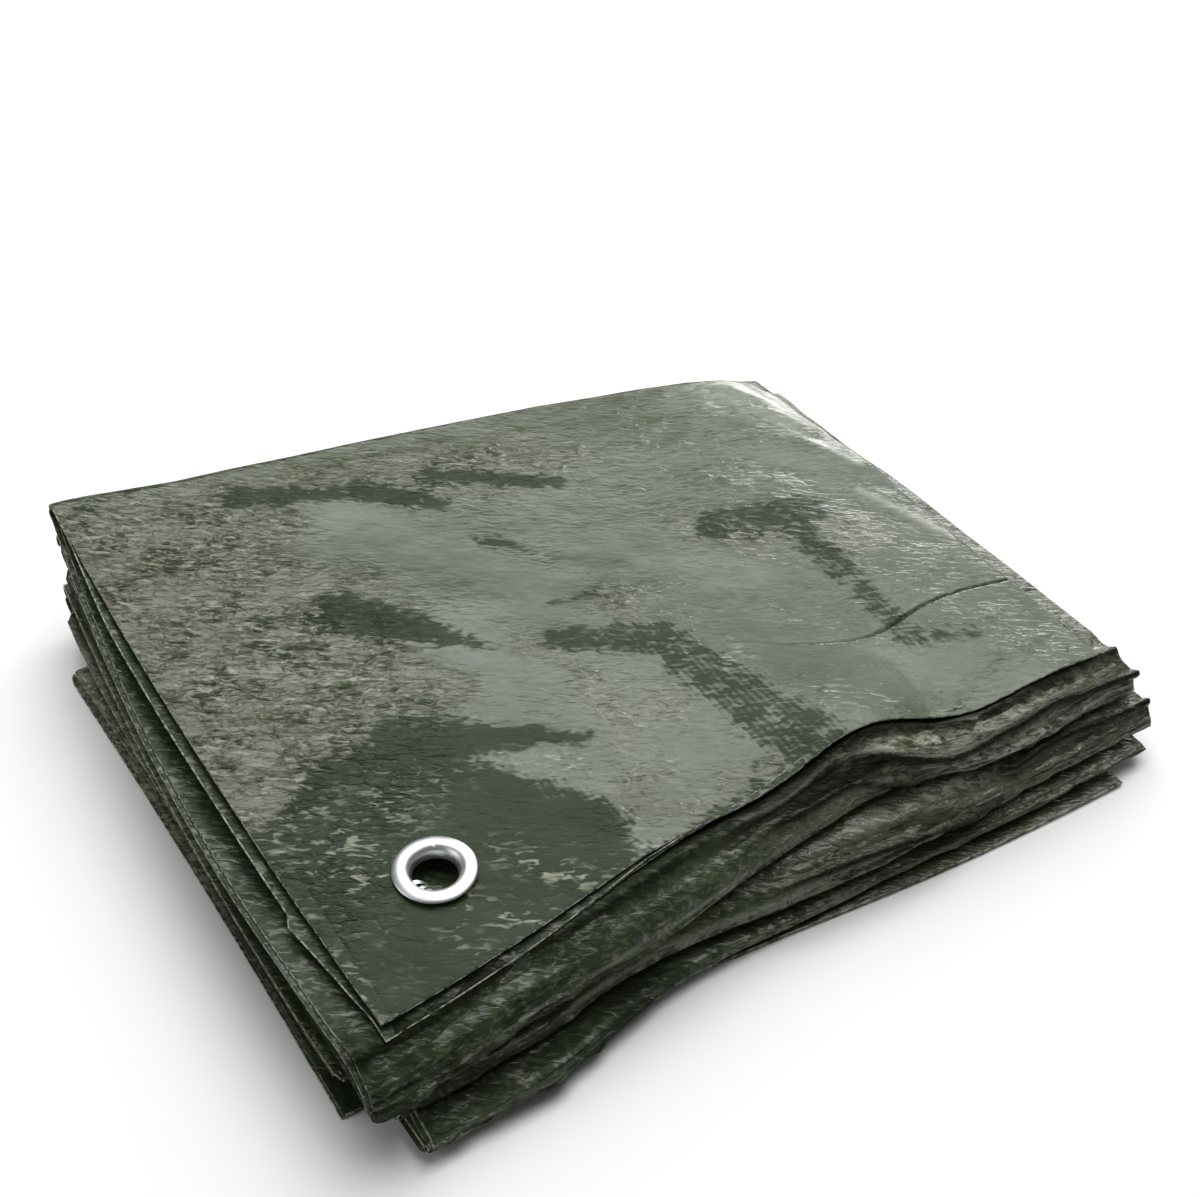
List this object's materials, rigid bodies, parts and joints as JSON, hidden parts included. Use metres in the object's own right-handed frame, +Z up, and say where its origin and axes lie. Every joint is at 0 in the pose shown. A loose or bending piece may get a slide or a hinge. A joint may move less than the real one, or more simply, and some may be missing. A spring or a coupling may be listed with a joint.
{
  "type": "folded tent groundsheet",
  "caption": "Coated woven tent groundsheet, folded lengthwise into a strip and back and forth into a flat pack, with a metal eyelet in the end hem.",
  "frame": {"origin": "middle of the pack's underside, on the surface it lies on", "axes": "+X along the front folds from the eyelet's corner, +Y from the front folds to the back ones, +Z up"},
  "size_m": [0.2846, 0.251, 0.0503],
  "materials": {
    "coated_tape": "glossy crinkled coated weave",
    "aluminium": "bright pressed"
  },
  "bodies": {
    "root": {"groundsheet": "coated_tape", "eyelet_hem": "coated_tape", "eyelet": "aluminium", "eyelet_washer": "aluminium"}
  },
  "joints": []
}
